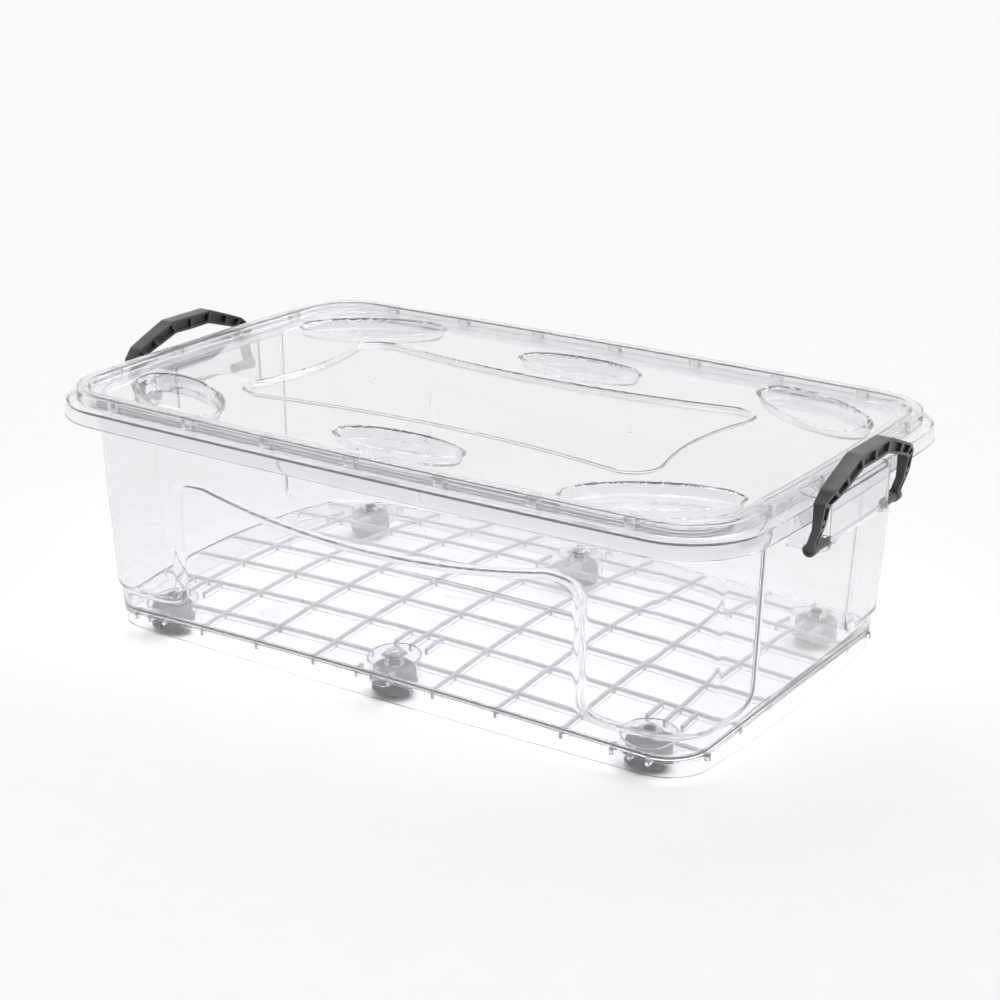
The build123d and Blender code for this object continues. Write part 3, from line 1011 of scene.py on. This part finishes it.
# ------------------------------------------------------------------ the lid
@dataclass
class Lid:
    """The clear lid: rim bead, recessed panel, waisted step and six stacking pockets."""

    wall: float = 2.0
    top: float = 199.0
    bottom: float = 189.3
    bead_width: float = 10.5
    bead_height: float = 5.5
    waist_length: float = 360.0
    waist_width: float = 176.0
    waist_pinch: float = 21.0
    waist_end_pinch: float = 11.0
    waist_depth: float = 3.2
    pocket_depth: float = 8.0
    step_edge: float = 3.2
    waist_inset: float = 20.0  # how round the waisted step's corners are
    middle_y: float = 124.0
    middle_half_length: float = 52.0
    middle_half_width: float = 20.0
    corner_half_length: float = 60.0
    corner_half_width: float = 26.0
    corner_lean: float = 30.0
    corner_blend: float = 8.0
    gate_places: tuple = (-116.0, 118.0)
    gate_radius: float = 5.0
    gate_height: float = 0.5
    underside_grow: float = 1.4
    panel_steps: int = 190
    corner_x: float = 207.0
    corner_y: float = 124.0
    corner_margin: float = 19.0
    tick_pitch: float = 74.5
    block_width: float = 10.0
    lip_gap: float = 0.8
    lip_depth: float = 5.0

    @property
    def panel_top(self) -> float:
        """Height of the panel's upper face."""
        return self.top - self.bead_height

    def waist_outline(self) -> np.ndarray:
        """The waisted shape's outline with pointed corners, which distances then round.

        Returns:
            Array of (n, 2) corners.
        """
        x, y = self.waist_length / 2, self.waist_width / 2
        t = np.linspace(-1, 1, 41)[:-1]
        dip = 1 - t**2
        front = np.column_stack([x * t, -y + self.waist_pinch * dip])
        right = np.column_stack([x - self.waist_end_pinch * dip, y * t])
        return np.concatenate([front, right, -front, -right])

    def relief(self, points: np.ndarray, grow: float) -> np.ndarray:
        """How deep the panel is pressed at each point.

        Args:
            points: (n, 2) places on the panel.
            grow: how much larger the shapes are, for the panel's underside.

        Returns:
            Depths below the panel's face.
        """
        inset = self.waist_inset
        shape = self.waist_outline()
        small = shape * np.array([1 - inset / (self.waist_length / 2), 1 - inset / (self.waist_width / 2)])
        waist = polygon_distance(points, small) + inset
        depth = self.waist_depth * smooth(waist + grow, self.step_edge)
        x, y = points[:, 0], points[:, 1]
        for row in (-1, 1):
            place = (0.0, row * self.middle_y)
            oval = self.oval(points, *place, self.middle_half_length, self.middle_half_width, 0.0)
            depth = np.maximum(depth, self.pocket_depth * smooth(oval + grow, self.step_edge))
            for column in (-1, 1):
                lean = -row * column * math.radians(self.corner_lean)
                place = (column * self.corner_x, row * self.corner_y)
                bean = self.oval(points, *place, self.corner_half_length, self.corner_half_width, lean)
                bean = soft_min(bean, -(waist + self.corner_margin), self.corner_blend)
                depth = np.maximum(depth, self.pocket_depth * smooth(bean + grow, self.step_edge))
        for gate in self.gate_places:
            apart = np.hypot(x - gate, y) / self.gate_radius
            depth = depth + self.gate_height * np.exp(-(apart**2) * 3.0)
        return depth

    def oval(self, points: np.ndarray, x: float, y: float, a: float, b: float, lean: float) -> np.ndarray:
        """Rough signed distance to an oval's edge, positive inside.

        Args:
            points: (n, 2) places.
            x: the oval's middle, along the box.
            y: the oval's middle, across the box.
            a: half its length.
            b: half its width.
            lean: how far it is turned, in radians.

        Returns:
            The distance at each place.
        """
        rel = points - np.array([x, y])
        c, s = math.cos(lean), math.sin(lean)
        u = (rel[:, 0] * c + rel[:, 1] * s) / a
        v = (-rel[:, 0] * s + rel[:, 1] * c) / b
        r = np.hypot(u, v) + 1e-9
        steep = np.hypot(u / a, v / b) / r
        return (1 - r) / (steep + 1e-9)

    def shell_rings(self) -> list:
        """Rings of the closed lid, from the panel's top round to its underside.

        Returns:
            List of (n, 3) arrays.
        """
        rings = []
        core = (RIM.length - RIM.width) / 2
        foot = RIM.loop(-self.bead_width - 0.8)
        shares = np.linspace(0.006, 1.0, self.panel_steps)
        for share in shares:
            loop = inward(foot, core, share)
            rings.append(ring(loop, self.panel_top - self.relief(loop, 0.0)))
        panel, top = self.panel_top, self.top
        width = self.bead_width
        for out, z in (
            (-width - 0.25, panel + 0.2),
            (-width, panel + 0.8),
            (-width, top - 1.6),
            (-width + 0.25, top - 0.7),
            (-width + 0.8, top - 0.2),
            (-width + 1.8, top),
            (-1.8, top),
            (-0.8, top - 0.2),
            (-0.25, top - 0.7),
            (0, top - 1.6),
            (0, self.bottom + 0.5),
            (-0.4, self.bottom),
            (-self.wall + 0.4, self.bottom),
            (-self.wall, self.bottom + 0.5),
            (-self.wall, top - self.wall - 0.6),
            (-self.wall - 0.6, top - self.wall),
            (-width + self.wall + 0.6, top - self.wall),
            (-width + self.wall, top - self.wall - 0.6),
            (-width + self.wall, panel - self.wall + 1.0),
            (-width + self.wall - 0.5, panel - self.wall + 0.2),
            (-width + self.wall - 1.4, panel - self.wall),
        ):
            rings.append(ring(RIM.loop(out), z))
        for share in np.flip(shares):
            loop = inward(foot, core, share)
            rings.append(ring(loop, panel - self.wall - self.relief(loop, self.underside_grow)))
        return rings

    def build_shell(self, finish: bpy.types.Material) -> None:
        """Makes the closed clear lid.

        Args:
            finish: its material.
        """
        maker = MeshMaker("lid_shell")
        maker.rings(self.shell_rings(), close_ends=True)
        piece = maker.make("lid", finish)
        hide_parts("lid")

    def build_blocks(self, finish: bpy.types.Material) -> None:
        """Makes the small stiffening blocks inside the hollow bead.

        Args:
            finish: their material.
        """
        maker = MeshMaker("lid_bead_blocks")
        inner, outer = -self.bead_width + self.wall + 0.1, -self.wall - 0.1
        low, high = self.bottom + 0.6, self.top - self.wall - 0.1
        near, far = RIM.loop(inner), RIM.loop(outer)
        places = [(k * self.tick_pitch, side) for k in range(-3, 4) for side in (-1, 1)]
        ends = [((k + 0.5) * self.tick_pitch, side) for k in range(-2, 2) for side in (-1, 1)]
        for along, (marks, across) in ((0, (places, 1)), (1, (ends, 0))):
            for centre, side in marks:
                beside = np.abs(far[:, along] - centre) <= self.block_width / 2
                index = np.flatnonzero(beside & (side * far[:, across] > 100))
                a, b = far[index], near[index]
                rings = [
                    np.concatenate([ring(a, z), ring(b[::-1], z)])
                    for z in (low, low + 0.3, high - 0.3, high)
                ]
                middle = rings[0].mean(axis=0)
                for end in (0, -1):
                    rings[end][:, :2] = middle[:2] + (rings[end][:, :2] - middle[:2]) * 0.96
                maker.rings(rings, close_ends=True)
        piece = maker.make("lid", finish)

    def build_lip(self, finish: bpy.types.Material) -> None:
        """Makes the lip under the panel that centres the lid in the tub.

        Args:
            finish: its material.
        """
        maker = MeshMaker("lid_locating_lip")
        out = -Tub.wall_inset - Tub.wall - self.lip_gap
        high = self.panel_top - self.wall - 0.05
        low = high - self.lip_depth
        rings = [
            ring(RIM.loop(grow), z)
            for grow, z in (
                (out, high),
                (out, low + 0.5),
                (out - 0.5, low),
                (out - self.wall + 0.5, low),
                (out - self.wall, low + 0.5),
                (out - self.wall, high),
            )
        ]
        maker.rings(rings, loop=True)
        piece = maker.make("lid", finish)


# ------------------------------------------------------------------ the handles
@dataclass
class Handle:
    """A folding handle: a faceted arch of I-section with lean lower arms and two pins."""

    inside: float = 300.6
    grip_depth: float = 11.5
    arm_depth: float = 8.0
    flange: float = 2.0
    pocket: float = 2.6
    rib: float = 1.8
    rib_pocket: float = 0.02  # what is left of the pockets at a rib
    pin_x: float = 298.5
    pin_z: float = 157.5
    pin_radius: float = 4.0
    tip_radius: float = 4.8
    pin_inner: float = 46.0
    arm_inner: float = 65.0
    arm_outer: float = 72.0

    def stations(self) -> list:
        """Lists the sections of one half, from the tip to the middle.

        Returns:
            For each one its outer (y, z), inner (y, z), and how far out it starts and ends.
        """
        arm = self.inside + self.arm_depth
        grip = self.inside + self.grip_depth
        tip_low, tip_high = self.pin_x - 2.8, self.pin_x + 2.8
        return [
            ((72.0, 158.5), (65.0, 158.5), tip_low, tip_high),
            ((72.2, 172.5), (64.8, 172.5), self.inside - 0.6, arm - 2.6),
            ((73.0, 178.0), (64.0, 178.0), self.inside, arm - 1.4),
            ((73.0, 192.0), (64.0, 189.0), self.inside, arm + 0.6),
            ((63.0, 199.8), (55.0, 193.2), self.inside, grip - 0.4),
            ((46.0, 206.4), (42.0, 197.2), self.inside, grip),
            ((24.0, 214.5), (20.0, 204.0), self.inside, grip),
            ((0.0, 214.5), (0.0, 203.6), self.inside, grip),
        ]

    def section(self, outer: tuple, inner: tuple, low: float, high: float, pocket: float) -> np.ndarray:
        """Makes one I-shaped section's loop of twelve points.

        Args:
            outer: (y, z) on the outer side.
            inner: (y, z) on the inner side.
            low: how far out the section starts.
            high: how far out it ends.
            pocket: how deep the pockets between the flanges are.

        Returns:
            Array of (12, 3) points.
        """
        o, i = np.array(outer), np.array(inner)
        step = (o - i) / np.linalg.norm(o - i) * self.flange
        marks = [
            (low, i),
            (high, i),
            (high, i + step),
            (high - pocket, i + step),
            (high - pocket, o - step),
            (high, o - step),
            (high, o),
            (low, o),
            (low, o - step),
            (low + pocket, o - step),
            (low + pocket, i + step),
            (low, i + step),
        ]
        return np.array([(x, *yz) for x, yz in marks])

    def arch_rings(self) -> list:
        """Rings along the whole arch, with a rib across the pockets at each facet's end.

        Returns:
            List of (12, 3) arrays.
        """
        half = self.stations()
        mirrored = [((-o[0], o[1]), (-i[0], i[1]), a, b) for o, i, a, b in half[-2::-1]]
        line = half + mirrored
        rings = []
        shallow, deep = self.rib_pocket, self.pocket
        for here, there in zip(line, line[1:]):
            run = float(np.linalg.norm(np.subtract(there[0], here[0])))
            edge = min(self.rib / run, 0.4)
            for share, pocket in (
                (0.0, shallow),
                (edge, shallow),
                (edge, deep),
                (1 - edge, deep),
                (1 - edge, shallow),
            ):
                mix = [np.asarray(a) + (np.asarray(b) - np.asarray(a)) * share for a, b in zip(here, there)]
                rings.append(self.section(*mix, pocket))
        rings.append(self.section(*line[-1], shallow))
        return rings

    def pin_rings(self) -> list:
        """Rings of one pin and its round tip, on the back half.

        Returns:
            List of (n, 3) arrays.
        """
        turn = np.linspace(0, 2 * math.pi, 40, endpoint=False)
        profile = (
            (self.pin_radius - 0.6, self.pin_inner),
            (self.pin_radius, self.pin_inner + 0.6),
            (self.pin_radius, self.arm_inner - 0.1),
            (self.tip_radius - 0.5, self.arm_inner),
            (self.tip_radius, self.arm_inner + 0.5),
            (self.tip_radius, self.arm_outer - 0.5),
            (self.tip_radius - 0.5, self.arm_outer),
            (self.pin_radius - 1.2, self.arm_outer),
            (self.pin_radius - 1.5, self.arm_outer - 1.0),
        )
        across, up = np.cos(turn), np.sin(turn)
        return [
            np.column_stack([self.pin_x + r * across, np.full(len(turn), y), self.pin_z + r * up])
            for r, y in profile
        ]

    def build(self, finish: bpy.types.Material) -> None:
        """Makes both handles.

        Args:
            finish: their material.
        """
        for side, name in ((1, "handle_right"), (-1, "handle_left")):
            maker = MeshMaker(f"{name}_arch")
            turn = np.array([side, side, 1.0])
            maker.rings([p * turn for p in self.arch_rings()], close_ends=True)
            for end in (-1, 1):
                maker.rings([p * np.array([side, end, 1.0]) for p in self.pin_rings()], close_ends=True)
            piece = maker.make(name, finish)
            soften = piece.modifiers.new("soft_edges", "BEVEL")
            soften.width, soften.segments, soften.limit_method = 0.0005, 2, "ANGLE"
            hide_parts(name)


# ------------------------------------------------------------------ studio
@dataclass
class Studio:
    """Floor, soft lights, surroundings and the camera."""

    azimuth: float = 33.1968
    elevation: float = 19.1574
    roll: float = 0.6169
    distance: float = 1.668
    aim_right: float = 0.0047
    aim_up: float = 0.1134
    view_width: float = 0.4617  # sensor width over focal length
    sensor_width: float = 36.0
    clip_end: float = 200.0
    floor_half: float = 45.0
    dim: float = 0.08
    bounces: int = 26
    sun_power: float = 2.25
    sun_spread: float = 70.0

    def camera(self) -> None:
        """Places the camera."""
        az, el, roll = (math.radians(a) for a in (self.azimuth, self.elevation, self.roll))
        ahead = Vector((-math.sin(az) * math.cos(el), math.cos(az) * math.cos(el), -math.sin(el)))
        right = Vector((math.cos(az), math.sin(az), 0.0))
        up = right.cross(ahead)
        aim = right * self.aim_right + Vector((0, 0, self.aim_up))
        turned_right = right * math.cos(roll) + up * math.sin(roll)
        turned_up = up * math.cos(roll) - right * math.sin(roll)
        turn = Matrix((turned_right, turned_up, -ahead)).transposed()
        data = bpy.data.cameras.new("camera")
        data.sensor_width = self.sensor_width
        data.lens = self.sensor_width / self.view_width
        data.clip_end = self.clip_end
        camera = bpy.data.objects.new("camera", data)
        camera.matrix_world = Matrix.Translation(aim - ahead * self.distance) @ turn.to_4x4()
        bpy.context.scene.collection.objects.link(camera)
        bpy.context.scene.camera = camera

    def floor(self) -> None:
        """Lays the pale floor."""
        mesh = bpy.data.meshes.new("paper_floor")
        half = self.floor_half
        corners = [(-half, -half, 0), (half, -half, 0), (half, half, 0), (-half, half, 0)]
        mesh.from_pydata(corners, [], [(0, 1, 2, 3)])
        mesh.materials.append(PaleFloor().material())
        floor = bpy.data.objects.new("paper_floor", mesh)
        bpy.context.scene.collection.objects.link(floor)

    def surroundings(self) -> None:
        """White low down on the far side, dark overhead and behind, so that clear edges read."""
        scene = bpy.context.scene
        world = bpy.data.worlds.new("studio")
        world.use_nodes = True
        tree = world.node_tree
        background = tree.nodes["Background"]
        place = tree.nodes.new("ShaderNodeTexCoord")
        ahead = tree.nodes.new("ShaderNodeVectorMath")
        ahead.operation = "DOT_PRODUCT"
        az = math.radians(self.azimuth)
        ahead.inputs[1].default_value = (-math.sin(az), math.cos(az), -0.35)
        ramp = tree.nodes.new("ShaderNodeValToRGB")
        stops = ramp.color_ramp.elements
        stops[0].position, stops[0].color = 0.42, (self.dim, self.dim, self.dim, 1)
        stops[1].position, stops[1].color = 0.60, (1, 1, 1, 1)
        shift = tree.nodes.new("ShaderNodeMapRange")
        shift.inputs["From Min"].default_value = -1.0
        tree.links.new(place.outputs["Generated"], ahead.inputs[0])
        tree.links.new(ahead.outputs["Value"], shift.inputs["Value"])
        tree.links.new(shift.outputs["Result"], ramp.inputs["Fac"])
        tree.links.new(ramp.outputs["Color"], background.inputs["Color"])
        background.inputs["Strength"].default_value = 1.0
        scene.world = world
        scene.view_settings.view_transform = "Standard"
        scene.cycles.max_bounces = self.bounces
        scene.cycles.transmission_bounces = self.bounces
        scene.cycles.transparent_max_bounces = self.bounces

    def sun(self) -> None:
        """Adds one very wide soft lamp high over the box."""
        data = bpy.data.lights.new("sky_lamp", "SUN")
        data.angle = math.radians(self.sun_spread)
        data.energy = self.sun_power
        lamp = bpy.data.objects.new("sky_lamp", data)
        lamp.rotation_euler = (math.radians(-18), math.radians(12), 0)
        bpy.context.scene.collection.objects.link(lamp)

    def build(self) -> None:
        """Sets everything up."""
        self.camera()
        self.floor()
        self.surroundings()
        self.sun()


def dress_cad(nodes: dict, finish: bpy.types.Material, wanted: Callable[[str], bool]) -> None:
    """Gives a finish to every CAD node that a test picks.

    Args:
        nodes: the CAD objects by name.
        finish: the material.
        wanted: says whether a name is picked.
    """
    for name, node in nodes.items():
        if wanted(name):
            node.data.materials.clear()
            node.data.materials.append(finish)
            log.info("%s keeps its CAD shape, %s", name, finish.name)


def main() -> None:
    """Builds the box's pieces in order and reports each one."""
    logging.basicConfig(level=logging.INFO, format="%(message)s")
    clear = ClearPlastic().material()
    milky = MilkyPlastic().material()
    grey = GreyPlastic().material()
    caster_grey = GreyPlastic(
        name="caster_grey_moulded_plastic",
        dark=(0.018, 0.018, 0.019, 1.0),
        light=(0.036, 0.036, 0.038, 1.0),
    ).material()
    steel = DrawnSteel().material()
    tub = Tub()
    tub.build_shell(clear)
    tub.build_rings(ClearPlastic(name="clear_ring_plastic", haze=0.02).material())
    tub.build_ribs(milky, clear)
    tub.build_brackets(clear)
    lid = Lid()
    lid.build_shell(clear)
    lid.build_blocks(clear)
    lid.build_lip(clear)
    Handle().build(grey)
    dress_cad(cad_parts, caster_grey, lambda n: "housing" in n or "wheel" in n)
    dress_cad(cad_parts, steel, lambda n: "axle" in n)
    Studio().build()


if __name__ == "__main__":
    main()
